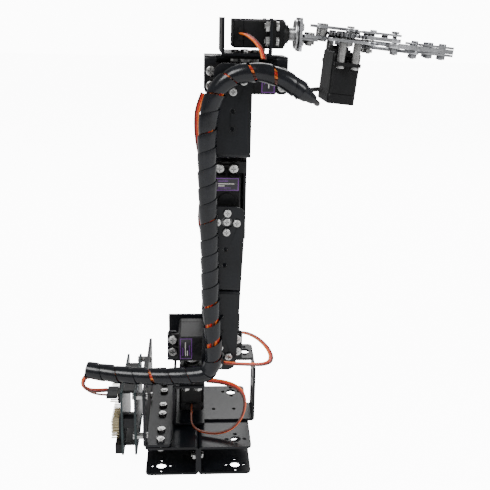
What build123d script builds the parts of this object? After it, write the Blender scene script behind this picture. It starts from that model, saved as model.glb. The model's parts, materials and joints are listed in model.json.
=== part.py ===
"""Six-servo desktop robot arm with a parallel claw.

Frame: millimetres, +Z up, the arm reaches along +X and its servo horns face -Y.
Origin: centre of the base's footprint, on the surface it stands on.
Each function makes one kind of piece about its own hinge axis, and the last section
places the pieces, body by body.
"""
import math
import os

from build123d import *

os.makedirs("parts", exist_ok=True)

# ---------------------------------------------------------------- driving dimensions
SHEET = 2.0  # bracket sheet thickness
BEND_INNER = 0.6  # inside radius of a bend
BEND_OUTER = BEND_INNER + SHEET
HORN_PCD = 14.0  # the kit's four-screw pattern
PILOT_R = 4.0  # centre hole of that pattern
M3_HOLE_R = 1.6
M3_R = 1.5
M4_HOLE_R = 2.1
M4_R = 1.9

# standard-size servo, measured from the top of its mounting ears
SERVO_LENGTH, SERVO_WIDTH = 40.7, 19.7
SHAFT_TO_MIDDLE = 10.2  # output shaft to the middle of the case
EAR_SPAN, EAR_THICK = 54.5, 2.5
EAR_HOLE_X, EAR_HOLE_Y = 24.75, 5.0
CASE_BOTTOM, CASE_TOP = -29.1, 6.5
COVER_SPLIT = -22.1  # joint between the bottom cover and the middle case
PLATEAU_TOP, BOSS_TOP = 8.0, 10.0
SERVO_WALL = 2.0
CAVITY_TOP = 4.5
SHAFT_R, BOSS_BORE_R = 2.95, 3.0
HORN_R, HORN_THICK, HORN_FACE = 10.0, 2.5, 17.0
LEAD_EXIT_Z = -23.5  # height of the lead's exit on the shaft end of the case
GROMMET_END = 12.3  # distance of the grommet's face from the shaft axis

# servo holder: a long wall, a back plate and two ear flanges
HOLDER_LENGTH = 58.0
WALL_OUT = 15.0  # outer face of the long wall, from the shaft axis
FLANGE_OUT = 10.5
BACK_OUT = -37.5
PATTERN_DEPTH = -20.0  # the wall's screw pattern, along the shaft

# U-shaped link
LINK_WIDTH = 26.0
LINK_REACH = 52.0  # hinge axis to the outer face of the web
LINK_TAIL = 11.5  # hinge axis to the free end of the arms
LINK_TIP_R = 7.0  # rounding of the free ends, clear of the wrist's walls
LINK_FRONT = HORN_FACE + SHEET
LINK_BACK = -41.5
LINK_MIDDLE = (LINK_FRONT + LINK_BACK) / 2

# base
BEAM_LENGTH, BEAM_FLANGE, BEAM_HEIGHT = 96.0, 41.0, 24.5
PATTERN_X, PATTERN_PITCH = 29.0, 37.5
CRADLE_LEFT, CRADLE_RIGHT = -44.0, 46.0
CRADLE_NEAR, CRADLE_FAR = -11.0, 15.0
CRADLE_HEIGHT = 47.0
RAIL_INNER, RAIL_OUTER = -21.0, -42.0
RAIL_NEAR, RAIL_FAR = -50.0, 48.5
RAIL_HEIGHT = 46.5

# arm posture as built
PAN_X, PAN_Y = -5.5, -1.0
PAN_EAR_Z = BEAM_HEIGHT + SHEET - BACK_OUT
PAN_HORN_Z = PAN_EAR_Z + HORN_FACE
SHOULDER_X, EAR_PLANE_Y = 15.0, -21.0
SHOULDER_Z = PAN_HORN_Z + SHEET + WALL_OUT
UPPER_LEAN = 2.3  # degrees, towards the claw
UPPER_LENGTH = 2 * LINK_REACH
ELBOW_X = SHOULDER_X + UPPER_LENGTH * math.sin(math.radians(UPPER_LEAN))
ELBOW_Z = SHOULDER_Z + UPPER_LENGTH * math.cos(math.radians(UPPER_LEAN))
END_WALL_OUT = 46.0  # elbow shaft to the outer face of its holder's end wall
END_WALL_SHIFT = (WALL_OUT - 10.0) / 2
WRIST_X = ELBOW_X + END_WALL_SHIFT
WRIST_Z = ELBOW_Z + END_WALL_OUT + LINK_REACH
ROLL_Y = EAR_PLANE_Y - PATTERN_DEPTH
ROLL_Z = WRIST_Z + 2 * WALL_OUT
ROLL_EAR_X = WRIST_X + SHAFT_TO_MIDDLE - PATTERN_DEPTH
ROLL_FACE_X = ROLL_EAR_X + HORN_FACE

# claw, in its own plane: X along the claw, Y across, Z up, origin at the roll horn
CLAW_DROOP = 5.0  # degrees below the roll axis
GEAR_X, GEAR_Y = 32.5, 14.0
GEAR_TEETH = 28
LINK_PIVOT_X, LINK_PIVOT_Y = 48.5, 7.0
ARM_LENGTH, ARM_ANGLE = 32.0, 32.0  # pivot to pivot, and degrees out from the claw's axis
FINGER_TIP_X, PAD_Y, FINGER_OUT_Y = 107.0, 13.0, 21.5
LOWER_PLATE, UPPER_PLATE = (-1.5, 0.5), (6.0, 8.0)
ARM_PLATE = (2.0, 4.5)
FOLLOWER_PLATE = (-4.2, -2.0)
CLAW_EAR_Z = ARM_PLATE[0] - HORN_FACE
CLAW_TAB_HOLES = [(6.5, -6.0), (6.5, 6.0)]
CLAW_TAB_END = 11.5
TOP_POSTS = [(15.0, -8.0), (15.0, 8.0)]
JAW_START = 7.0  # front finger pivot to the start of the jaw plates
JAW_BOLT_Y = 17.5

# controller boards, upright along Y on the rail's left side
BOARD_LENGTH, BOARD_HEIGHT, BOARD_THICK = 68.6, 53.4, 1.6
BOARD_NEAR, BOARD_LOW = -48.0, 18.0
MAIN_X, SHIELD_X = -47.0, -57.0  # face of each board towards the rail
BOARD_POSTS = [(-44.0, 33.0), (-44.0, 67.0), (17.6, 33.0), (17.6, 67.0)]
SERVO_PIN_COUNT, SERVO_PIN_PITCH = 12, 2.54
SERVO_PIN_SPAN = (-40.0, -40.0 + SERVO_PIN_PITCH * SERVO_PIN_COUNT)
SERVO_PIN_ROWS = (28.5, 31.3, 34.1, 36.9, 39.7, 42.5, 60.0, 62.8, 65.6)

# wiring
HARNESS_D, LEAD_WIDE, SLEEVE_D = 11.6, 3.9, 3.6


# ---------------------------------------------------------------- helpers
def save(node, *shapes):
    """Write one node: every solid of the given shapes, as one STEP file."""
    solids = [solid for shape in shapes for solid in shape.solids()]
    whole = solids[0] if len(solids) == 1 else Compound(children=solids)
    export_step(whole, f"parts/{node}.step")


def rod(radius, low, high, x=0.0, y=0.0):
    """A round bar along Z from low to high."""
    return Pos(x, y, (low + high) / 2) * Cylinder(radius, high - low)


def block(x_range, y_range, z_range):
    """A box between pairs of limits."""
    size = [b - a for a, b in (x_range, y_range, z_range)]
    middle = [(a + b) / 2 for a, b in (x_range, y_range, z_range)]
    return Pos(*middle) * Box(*size)


def sheet_profile(outer, inner):
    """The end face of a bent sheet, from its outer and inner lines."""
    outside = FilletPolyline(*outer, radius=BEND_OUTER)
    inside = FilletPolyline(*inner, radius=BEND_INNER)
    ends = [Line(outer[0], inner[0]), Line(outer[-1], inner[-1])]
    return Face(Wire([*outside.edges(), *inside.edges(), *[e for line in ends for e in line.edges()]]))


def across(face, low, high):
    """Sweep a profile drawn in X and Z along Y, from low to high."""
    return extrude(Plane.XZ.offset(-low) * face, high - low, dir=(0, 1, 0))


def pattern(angle=0.0, pilot=PILOT_R):
    """Cutters of the four-screw pattern with its pilot hole, about Z."""
    cutters = [rod(pilot, -6, 6)] if pilot else []
    for quarter in range(4):
        turn = math.radians(angle + 90 * quarter)
        reach = HORN_PCD / 2
        cutters.append(rod(M3_HOLE_R, -6, 6, reach * math.cos(turn), reach * math.sin(turn)))
    return cutters


def cut(body, cutters, *places):
    """Cut a list of cutters out of a body at each place."""
    return body - [place * cutter for place in places for cutter in cutters]


def round_corners(body, axis, radius, *spots):
    """Round the edges along an axis that pass through the given spots."""
    edges = body.edges().filter_by(axis)
    chosen = [edges.sort_by_distance(Vector(*spot))[0] for spot in spots]
    return fillet(chosen, radius)


def screw(radius, length, head_r, head_h):
    """A pan-head screw: head above Z = 0, shank below, with a cross recess."""
    edge = 0.35 * head_h
    head = fillet(Cylinder(head_r, head_h).edges().filter_by(GeomType.CIRCLE).sort_by(Axis.Z)[-1], edge)
    recess = Box(head_r * 1.1, 0.7, 1.0) + Box(0.7, head_r * 1.1, 1.0)
    head = Pos(0, 0, head_h / 2) * head - Pos(0, 0, head_h) * recess
    return head + rod(radius, -length, 0)


def hex_nut(bore_r, across_flats, thick):
    """A nut on top of Z = 0."""
    outline = RegularPolygon(across_flats / 2, 6, major_radius=False)
    body = extrude(outline, thick)
    return body - rod(bore_r, -1, thick + 1)


M3_SHORT = screw(M3_R, 4.2, 2.8, 1.8)
M3_LONG = screw(M3_R, 7.6, 2.8, 1.8)
M4_SCREW = screw(M4_R, 8.0, 3.4, 2.2)
M3_NUT = hex_nut(M3_R + 0.05, 5.5, 2.4)
M4_NUT = hex_nut(M4_R + 0.05, 6.4, 2.6)
FLIP = Rot(180, 0, 0)


def ring_of(piece, height=0.0, angle=0.0, x=0.0, y=0.0, skip=()):
    """Copies of a piece on the four-screw pattern."""
    places = []
    for quarter in range(4):
        turn = math.radians(angle + 90 * quarter)
        reach = HORN_PCD / 2
        if quarter not in skip:
            places.append(Pos(x + reach * math.cos(turn), y + reach * math.sin(turn), height))
    return [place * piece for place in places]


def frame_at(origin, x_dir, z_dir):
    """Placement of a piece's own frame in the arm's frame."""
    return Plane(origin=origin, x_dir=x_dir, z_dir=z_dir).location


# ---------------------------------------------------------------- placement
TOWARDS_FRONT = (0, -1, 0)
LEAN = (math.sin(math.radians(UPPER_LEAN)), 0, math.cos(math.radians(UPPER_LEAN)))
DROOP = math.radians(CLAW_DROOP)
PAN = frame_at((PAN_X, PAN_Y, PAN_EAR_Z), (0, -1, 0), (0, 0, 1))
SHOULDER = frame_at((SHOULDER_X, EAR_PLANE_Y, SHOULDER_Z), (1, 0, 0), TOWARDS_FRONT)
LOWER_LINK = frame_at((SHOULDER_X, EAR_PLANE_Y, SHOULDER_Z), LEAN, TOWARDS_FRONT)
UPPER_LINK = frame_at((ELBOW_X, EAR_PLANE_Y, ELBOW_Z), tuple(-v for v in LEAN), TOWARDS_FRONT)
ELBOW = frame_at((ELBOW_X, EAR_PLANE_Y, ELBOW_Z), (0, 0, -1), TOWARDS_FRONT)
FOREARM_LINK = frame_at((WRIST_X, EAR_PLANE_Y, WRIST_Z), (0, 0, -1), TOWARDS_FRONT)
PITCH = frame_at((WRIST_X, EAR_PLANE_Y, WRIST_Z), (-1, 0, 0), TOWARDS_FRONT)
ROLL = frame_at((ROLL_EAR_X, ROLL_Y, ROLL_Z), (0, -1, 0), (1, 0, 0))
CLAW_ALONG = (math.cos(DROOP), 0, -math.sin(DROOP))
CLAW_UP = (math.sin(DROOP), 0, math.cos(DROOP))
CLAW = frame_at((ROLL_FACE_X + SHEET, ROLL_Y, ROLL_Z), CLAW_ALONG, CLAW_UP)
GRIPPER = CLAW * frame_at((GEAR_X, GEAR_Y, CLAW_EAR_Z), (0, 1, 0), (0, 0, 1))


# ---------------------------------------------------------------- servo
def servo_shell():
    """Bottom cover, middle case with ears, and top cap, hollow, about the shaft axis."""
    middle_x = -SHAFT_TO_MIDDLE
    half_l, half_w = SERVO_LENGTH / 2, SERVO_WIDTH / 2

    def slab(low, high, inset=0.0):
        outline = RectangleRounded(SERVO_LENGTH - 2 * inset, SERVO_WIDTH - 2 * inset, 1.8)
        return Pos(middle_x, 0, low) * extrude(outline, high - low)

    cavity = block(
        (middle_x - half_l + SERVO_WALL, middle_x + half_l - SERVO_WALL),
        (-half_w + SERVO_WALL, half_w - SERVO_WALL),
        (CASE_BOTTOM + SERVO_WALL, CAVITY_TOP),
    )
    groove = 0.35
    cover = slab(CASE_BOTTOM, COVER_SPLIT)
    cover = chamfer(cover.faces().sort_by(Axis.Z)[-1].edges(), groove)
    cover = chamfer(cover.faces().sort_by(Axis.Z)[0].edges(), 0.6)
    grommet_x = (middle_x + half_l - 0.5, GROMMET_END)
    cover += block(grommet_x, (-4.2, 4.2), (LEAD_EXIT_Z - 2.2, LEAD_EXIT_Z + 1.2))
    corners = [(sx * 17.6, sy * 7.6) for sx in (-1, 1) for sy in (-1, 1)]
    for dx, dy in corners:
        cover -= rod(1.9, CASE_BOTTOM - 1, CASE_BOTTOM + 1.6, middle_x + dx, dy)
    cover -= cavity

    case = slab(COVER_SPLIT, 0)
    case = chamfer(case.faces().sort_by(Axis.Z)[0].edges(), groove)
    ears = RectangleRounded(EAR_SPAN, SERVO_WIDTH - 1.2, 1.5)
    case += Pos(middle_x, 0, -EAR_THICK) * extrude(ears, EAR_THICK)
    for side in (-1, 1):
        foot, tip = middle_x + side * (half_l + 0.15), middle_x + side * (half_l + 5.2)
        rib = make_face(Polyline((foot, -0.5), (foot, 4.0), (tip, 0.2), (tip, -0.5), close=True))
        case += across(rib, -0.8, 0.8)
        for y in (-EAR_HOLE_Y, EAR_HOLE_Y):
            case -= rod(M4_HOLE_R, -EAR_THICK - 1, 1, middle_x + side * EAR_HOLE_X, y)
    case -= cavity

    cap = slab(0, CASE_TOP)
    cap = chamfer(cap.faces().sort_by(Axis.Z)[-1].edges(), 0.8)
    plateau = make_hull(Circle(8.4).edges() + (Pos(-13, 0) * Circle(5.5)).edges())
    cap += Pos(0, 0, CASE_TOP) * extrude(plateau, PLATEAU_TOP - CASE_TOP)
    cap += rod(6.4, PLATEAU_TOP, BOSS_TOP)
    cap -= cavity
    cap -= rod(BOSS_BORE_R, 0, BOSS_TOP + 1)

    heads = [rod(1.75, CASE_BOTTOM + 0.3, CASE_BOTTOM + 1.6, middle_x + dx, dy) for dx, dy in corners]
    slots = [Pos(middle_x + dx, dy, CASE_BOTTOM) * Box(2.2, 0.5, 1.6) for dx, dy in corners]
    heads = [head - slot for head, slot in zip(heads, slots)]
    return [cover, case, cap, *heads]


def servo_drive():
    """Motor, gears, potentiometer and circuit board inside a servo."""
    motor = rod(7.4, -26.6, -6.6, -21.0)
    pinion = rod(1.0, -6.6, 0.4, -21.0) + rod(3.9, 0.4, 3.6, -21.0)
    reduction = rod(5.2, 0.6, 3.6, -11.8) + rod(1.0, -3.0, 4.3, -11.8)
    sensor = rod(5.0, -14.0, -0.6)
    circuit = block((-12.0, 7.0), (-7.0, 7.0), (-26.4, -25.2))
    return [motor, pinion, reduction, sensor, circuit]


def horn(angle=0.0):
    """Metal disc horn with its hub, the splined shaft and the last gear, turning as one."""
    body = rod(HORN_R, HORN_FACE - HORN_THICK, HORN_FACE)
    body = chamfer(body.edges().filter_by(GeomType.CIRCLE), 0.3)
    body += rod(4.6, BOSS_TOP + 0.6, HORN_FACE - HORN_THICK)
    body += rod(SHAFT_R, 3.6, BOSS_TOP + 0.6) + rod(6.0, 0.6, 3.6)
    body -= rod(M3_HOLE_R, HORN_FACE - 1.0, HORN_FACE + 1)
    return cut(body, pattern(angle, pilot=0), Pos(0, 0, HORN_FACE))


def ear_fasteners():
    """Four screws with nuts that clamp a servo's ears to its holder."""
    pieces = []
    for side in (-1, 1):
        for y in (-EAR_HOLE_Y, EAR_HOLE_Y):
            spot = Pos(-SHAFT_TO_MIDDLE + side * EAR_HOLE_X, y, 0)
            pieces.append(spot * M4_SCREW)
            pieces.append(spot * Pos(0, 0, -EAR_THICK - SHEET - 2.6) * M4_NUT)
    return pieces


# ---------------------------------------------------------------- brackets
def holder(side, wall_patterns=(-SHAFT_TO_MIDDLE,), end_wall=False, pivot=True):
    """Servo holder about the shaft axis; side is +1 or -1, where the long wall is along Y."""
    middle, half = -SHAFT_TO_MIDDLE, HOLDER_LENGTH / 2
    front = -EAR_THICK
    inner = WALL_OUT - SHEET

    def strip(outer, inner_line, low, high):
        face = sheet_profile(outer, inner_line)
        return extrude(Plane.YZ.offset(low) * face, high - low, dir=(1, 0, 0))

    back_line = [(WALL_OUT, front - SHEET - 2), (WALL_OUT, BACK_OUT), (-FLANGE_OUT, BACK_OUT)]
    back_inner = [(inner, front - SHEET - 2), (inner, BACK_OUT + SHEET), (-FLANGE_OUT, BACK_OUT + SHEET)]
    far_end = -END_WALL_OUT if end_wall else middle - half
    body = strip(back_line, back_inner, far_end, middle + half)
    flange_line = [(WALL_OUT, front - SHEET - 3), (WALL_OUT, front), (-FLANGE_OUT, front)]
    flange_inner = [(inner, front - SHEET - 3), (inner, front - SHEET), (-FLANGE_OUT, front - SHEET)]
    for low in (middle - half, middle + half - 8):
        flange = strip(flange_line, flange_inner, low, low + 8)
        tips = [(x, -FLANGE_OUT, front - 1) for x in (low, low + 8)]
        body += round_corners(flange, Axis.Z, 2.5, *tips)
    if end_wall:
        wall = block((-END_WALL_OUT, -END_WALL_OUT + SHEET), (-FLANGE_OUT, WALL_OUT), (BACK_OUT, front - 1.5))
        tips = [(-END_WALL_OUT + 1, y, front - 1.5) for y in (-FLANGE_OUT, WALL_OUT)]
        body += round_corners(wall, Axis.X, 3, *tips)
        spot = Pos(-END_WALL_OUT + 1, END_WALL_SHIFT, PATTERN_DEPTH) * Rot(0, 90, 0)
        body = cut(body, pattern(), spot)
    for x in (middle - EAR_HOLE_X, middle + EAR_HOLE_X):
        for y in (-EAR_HOLE_Y, EAR_HOLE_Y):
            body -= rod(M4_HOLE_R, front - 4, front + 1, x, y)
    body = cut(body, pattern(), *[Pos(x, inner + 1, PATTERN_DEPTH) * Rot(90, 0, 0) for x in wall_patterns])
    back_pattern = pattern()
    if pivot:
        back_pattern[1] = rod(M3_HOLE_R, -6, 6, SHAFT_TO_MIDDLE)
    body = cut(body, back_pattern, Pos(middle, 0, BACK_OUT + 1))
    return body if side > 0 else mirror(body, Plane.XZ)


def link(web_patterns):
    """U-shaped link about its hinge axis: arms across Z, web at X = LINK_REACH."""
    low, high, edge = LINK_BACK, LINK_FRONT, LINK_REACH
    outer = [(-LINK_TAIL, low), (edge, low), (edge, high), (-LINK_TAIL, high)]
    low, high, edge = LINK_BACK + SHEET, LINK_FRONT - SHEET, LINK_REACH - SHEET
    inner = [(-LINK_TAIL, low), (edge, low), (edge, high), (-LINK_TAIL, high)]
    body = across(sheet_profile(outer, inner), -LINK_WIDTH / 2, LINK_WIDTH / 2)
    sides = (-LINK_WIDTH / 2, LINK_WIDTH / 2)
    tips = [(-LINK_TAIL, y, z) for y in sides for z in (LINK_FRONT - 1, LINK_BACK + 1)]
    body = round_corners(body, Axis.Z, LINK_TIP_R, *tips)
    body = cut(body, pattern(), Pos(0, 0, LINK_FRONT - 1), Pos(0, 0, LINK_BACK + 1))
    body = cut(body, pattern(), *[Pos(LINK_REACH - 1, 0, z) * Rot(0, 90, 0) for z in web_patterns])
    for x in (20.0, 32.0):
        body -= rod(1.6, LINK_BACK - 1, LINK_FRONT + 1, x, 0)
    return body


def hinge_bearing():
    """Flanged bearing in the link's back arm."""
    flange = rod(4.8, LINK_BACK + SHEET, LINK_BACK + SHEET + 0.9)
    return flange + rod(PILOT_R, LINK_BACK - 0.6, LINK_BACK + SHEET) - rod(M3_R + 0.05, -50, -30)


def pivot_fasteners():
    """Screw, spacer and nut that carry the bearing on the holder's back plate."""
    pivot = Pos(0, 0, BACK_OUT + SHEET) * screw(M3_R, 11.4, 2.8, 1.8)
    gap_end = LINK_BACK + SHEET + 0.9
    spacer = rod(2.4, gap_end + 0.15, BACK_OUT) - rod(M3_R + 0.05, gap_end - 1, BACK_OUT + 1)
    nut = Pos(0, 0, LINK_BACK - 3.2) * M3_NUT
    return [pivot, spacer, nut]


def horn_fasteners():
    """Four screws from the link into the horn and the horn's centre screw."""
    centre = Pos(0, 0, HORN_FACE) * screw(M3_R, 0.8, 2.8, 1.6)
    return [*ring_of(M3_SHORT, LINK_FRONT), centre]


def beam(side):
    """Base beam: an upright web on the middle line and two flanges outwards."""
    tip, web = side * BEAM_FLANGE, 0.0
    outer = [(tip, 0), (web, 0), (web, BEAM_HEIGHT), (tip, BEAM_HEIGHT)]
    step = side * SHEET
    inner = [(tip, SHEET), (web + step, SHEET), (web + step, BEAM_HEIGHT - SHEET), (tip, BEAM_HEIGHT - SHEET)]
    body = across(sheet_profile(outer, inner), -BEAM_LENGTH / 2, BEAM_LENGTH / 2)
    corners = [(tip, end * BEAM_LENGTH / 2, z) for end in (-1, 1) for z in (1, BEAM_HEIGHT - 1)]
    body = round_corners(body, Axis.Z, 4, *corners)
    for row in (-1, 0, 1):
        for z in (1, BEAM_HEIGHT - 1):
            body = cut(body, pattern(), Pos(side * PATTERN_X, row * PATTERN_PITCH, z))
        body = cut(body, [rod(M3_HOLE_R, -6, 6)], Pos(0, row * 40.0, BEAM_HEIGHT / 2) * Rot(0, 90, 0))
    return body


def cradle():
    """Wide U bracket across both beams, walls up."""
    low, high = BEAM_HEIGHT, BEAM_HEIGHT + CRADLE_HEIGHT
    outer = [(CRADLE_LEFT, high), (CRADLE_LEFT, low), (CRADLE_RIGHT, low), (CRADLE_RIGHT, high)]
    left, right = CRADLE_LEFT + SHEET, CRADLE_RIGHT - SHEET
    inner = [(left, high), (left, low + SHEET), (right, low + SHEET), (right, high)]
    body = across(sheet_profile(outer, inner), CRADLE_NEAR, CRADLE_FAR)
    corners = [(x, y, high) for x in (left, right) for y in (CRADLE_NEAR, CRADLE_FAR)]
    body = round_corners(body, Axis.X, 4, *corners)
    hole = [rod(M3_HOLE_R, -6, 6)]
    body = cut(body, hole, *[Pos(x, 5, low) for x in (13.0, 30.0)])
    body = cut(body, hole, *[Pos(-PATTERN_X, y, low) for y in (-7.0, 7.0)])
    near_half = [cutter for number, cutter in enumerate(pattern()) if number != 2]
    body = cut(body, near_half, Pos(PAN_X, PAN_Y + SHAFT_TO_MIDDLE, low))
    for x in (left, right):
        for z in (46.0, 61.0):
            body = cut(body, pattern(), Pos(x, 2, z) * Rot(0, 90, 0))
    return body


def controller_rail():
    """Long angle bracket on the left beam that carries the circuit boards."""
    low = BEAM_HEIGHT + SHEET
    outer = [(RAIL_INNER, low), (RAIL_OUTER, low), (RAIL_OUTER, low + RAIL_HEIGHT)]
    left = RAIL_OUTER + SHEET
    inner = [(RAIL_INNER, low + SHEET), (left, low + SHEET), (left, low + RAIL_HEIGHT)]
    body = across(sheet_profile(outer, inner), RAIL_NEAR, RAIL_FAR)
    corners = [(left, y, low + RAIL_HEIGHT) for y in (RAIL_NEAR, RAIL_FAR)]
    body = round_corners(body, Axis.X, 4, *corners)
    body = round_corners(body, Axis.Z, 4, *[(RAIL_INNER, y, low + 1) for y in (RAIL_NEAR, RAIL_FAR)])
    hole = [rod(M3_HOLE_R, -6, 6)]
    body = cut(body, hole, *[Pos(-PATTERN_X, y, low) for y in rail_screw_rows()])
    return cut(body, hole, *[Pos(left, y, z) * Rot(0, 90, 0) for y, z in BOARD_POSTS])


def rail_screw_rows():
    """Positions along Y of the screws that hold the rail: two on each pattern."""
    reach = HORN_PCD / 2
    return [row * PATTERN_PITCH + side * reach for row in (-1, 0, 1) for side in (-1, 1)]


def turret_plate():
    """Flat plate between the pan horn and the shoulder's holder."""
    outline = Pos(11.0, PAN_Y) * RectangleRounded(66.0, LINK_WIDTH, 4.0)
    body = Pos(0, 0, PAN_HORN_Z) * extrude(outline, SHEET)
    body = cut(body, pattern(), Pos(PAN_X, PAN_Y, PAN_HORN_Z + 1), Pos(37.0, PAN_Y, PAN_HORN_Z + 1))
    slot = Rot(0, 0, 90) * extrude(SlotOverall(9, 3.6), 3, both=True)
    return body - Pos(-18.0, PAN_Y - 4.0, PAN_HORN_Z + 1) * slot


# ---------------------------------------------------------------- controller
def circuit_board(face_x):
    """One circuit board, upright along Y, with its mounting holes."""
    far, high = BOARD_NEAR + BOARD_LENGTH, BOARD_LOW + BOARD_HEIGHT
    body = block((face_x - BOARD_THICK, face_x), (BOARD_NEAR, far), (BOARD_LOW, high))
    corners = [(face_x, y, z) for y in (BOARD_NEAR, far) for z in (BOARD_LOW, high)]
    body = round_corners(body, Axis.X, 2, *corners)
    return cut(body, [rod(M3_HOLE_R, -6, 6)], *[Pos(face_x, y, z) * Rot(0, 90, 0) for y, z in BOARD_POSTS])


def strip_of(y_range, z, x_range, wide=2.5):
    """A header strip along Y."""
    return block(x_range, y_range, (z - wide / 2, z + wide / 2))


def board_headers():
    """Plastic header strips, sockets and power terminals."""
    front = SHIELD_X - BOARD_THICK
    pieces = []
    for z in SERVO_PIN_ROWS:
        pieces.append(strip_of(SERVO_PIN_SPAN, z, (front - 2.5, front)))
    for z in (BOARD_LOW + 4.0, BOARD_LOW + BOARD_HEIGHT - 4.0):
        pieces.append(strip_of((-38, 8), z, (SHIELD_X, MAIN_X - BOARD_THICK)))
    pieces.append(block((front - 5.0, front), (-46, -36), (BOARD_LOW + 0.8, BOARD_LOW + 8.4)))
    pieces.append(block((front - 5.0, front), (-33.5, -23.5), (BOARD_LOW + 0.8, BOARD_LOW + 8.4)))
    pieces.append(block((SHIELD_X + 0.4, MAIN_X - BOARD_THICK), (-47.5, -41), (42, 50)))
    return pieces


def board_pins():
    """Square metal pins of the servo headers."""
    front = SHIELD_X - BOARD_THICK - 2.5
    pieces = []
    for z in SERVO_PIN_ROWS:
        for number in range(SERVO_PIN_COUNT):
            y = SERVO_PIN_SPAN[0] + SERVO_PIN_PITCH * (number + 0.5)
            pieces.append(block((front - 6.0, front), (y - 0.35, y + 0.35), (z - 0.35, z + 0.35)))
    return pieces


# ---------------------------------------------------------------- claw
def gear_outline():
    """Spur gear outline with straight-sided teeth, one tooth centred on +X."""
    pitch_r = GEAR_Y
    tip_r, root_r = pitch_r + 0.75, pitch_r - 1.0
    step = 2 * math.pi / GEAR_TEETH
    points = []
    for tooth in range(GEAR_TEETH):
        centre = tooth * step
        for part_of_step, radius in ((-0.30, root_r), (-0.11, tip_r), (0.11, tip_r), (0.30, root_r)):
            turn = centre + part_of_step * step
            points.append((radius * math.cos(turn), radius * math.sin(turn)))
    return make_face(Polyline(*points, close=True))


def bar_outline(start, end, radius):
    """A round-ended bar between two points."""
    length = math.dist(start, end)
    angle = math.degrees(math.atan2(end[1] - start[1], end[0] - start[0]))
    middle = ((start[0] + end[0]) / 2, (start[1] + end[1]) / 2)
    return Pos(*middle) * Rot(0, 0, angle) * SlotCenterToCenter(length, 2 * radius)


def plate(outline, levels):
    """A flat plate between two levels."""
    return Pos(0, 0, levels[0]) * extrude(outline, levels[1] - levels[0])


def claw_pivots(side):
    """Gear axis, follower axis and their finger pivots on one side of the claw."""
    turn = math.radians(ARM_ANGLE)
    reach = (ARM_LENGTH * math.cos(turn), side * ARM_LENGTH * math.sin(turn))
    gear, follower = (GEAR_X, side * GEAR_Y), (LINK_PIVOT_X, side * LINK_PIVOT_Y)
    ends = [(p[0] + reach[0], p[1] + reach[1]) for p in (gear, follower)]
    return gear, follower, ends[0], ends[1]


def gear_arm(side):
    """Gear with its crank arm and a doubling plate that holds the finger's rear pivot."""
    gear, _, finger_pin, _ = claw_pivots(side)
    phase = 90 if side > 0 else -90 + 180 / GEAR_TEETH
    body = plate(Pos(*gear) * Rot(0, 0, phase) * gear_outline(), ARM_PLATE)
    body += plate(bar_outline(gear, finger_pin, 4.5), ARM_PLATE)
    start = tuple(g + (f - g) * 0.42 for g, f in zip(gear, finger_pin))
    body += plate(bar_outline(start, finger_pin, 4.5), (ARM_PLATE[1] + 1.5, UPPER_PLATE[1] - 0.5))
    for share in (0.48, 0.78):
        spot = [g + (f - g) * share for g, f in zip(gear, finger_pin)]
        body += rod(2.2, ARM_PLATE[1], ARM_PLATE[1] + 1.5, *spot)
    body -= rod(M3_HOLE_R, ARM_PLATE[0] - 1, UPPER_PLATE[1], *finger_pin)
    if side > 0:
        cutters = [rod(3.2, -6, 6), *pattern(pilot=0)]
        return cut(body, cutters, Pos(*gear, ARM_PLATE[0]))
    return body - rod(M3_R + 0.05, -6, 9, *gear)


def follower_link(side):
    """Follower bar that keeps the finger parallel."""
    _, follower, _, finger_pin = claw_pivots(side)
    body = plate(bar_outline(follower, finger_pin, 4.2), FOLLOWER_PLATE)
    for spot in (follower, finger_pin):
        body -= rod(M3_R + 0.05, -9, 3, *spot)
    return body


def jaw_bolts(side):
    """Where the two screws through a finger's jaw plates sit."""
    front = claw_pivots(side)[3]
    return [(front[0] + JAW_START + 6, side * JAW_BOLT_Y), (FINGER_TIP_X - 9, side * JAW_BOLT_Y)]


def jaw_outline(side):
    """Outline of the jaw plates, toothed on the gripping side."""
    start = claw_pivots(side)[3][0] + JAW_START
    teeth = int((FINGER_TIP_X - start) // 3)
    pitch = (FINGER_TIP_X - start) / teeth
    outline = [(start, side * FINGER_OUT_Y)]
    for tooth in range(teeth):
        x = start + tooth * pitch
        outline += [(x, side * PAD_Y), (x + pitch * 0.55, side * PAD_Y)]
        outline.append((x + pitch * 0.75, side * (PAD_Y + 1.1)))
    outline += [(FINGER_TIP_X, side * PAD_Y), (FINGER_TIP_X, side * (FINGER_OUT_Y - 5))]
    outline += [(FINGER_TIP_X - 8, side * FINGER_OUT_Y)]
    return make_face(Polyline(*outline, close=True))


def finger(side):
    """Finger: a bent bar between its pivots and three jaw plates, stacked on two screws."""
    _, _, rear, front = claw_pivots(side)
    elbow = (front[0] + JAW_START + 2.0, side * (PAD_Y + 5.5))
    jaw = jaw_outline(side)
    middle = plate(bar_outline(rear, front, 5.0), (-1.6, 1.6))
    middle += plate(bar_outline(front, elbow, 4.8), (-1.6, 1.6)) + plate(jaw, (-1.6, 1.6))
    for spot in (rear, front):
        middle -= rod(M3_HOLE_R, -9, 9, *spot)
    plates = [middle, plate(jaw, (-3.4, -1.8)), plate(jaw, (1.8, 3.4))]
    for spot in jaw_bolts(side):
        plates = [piece - rod(M3_HOLE_R, -9, 9, *spot) for piece in plates]
        for low, high in ((-1.8, -1.6), (1.6, 1.8)):
            plates.append(rod(2.6, low, high, *spot) - rod(M3_HOLE_R, -9, 9, *spot))
    return plates


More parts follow.
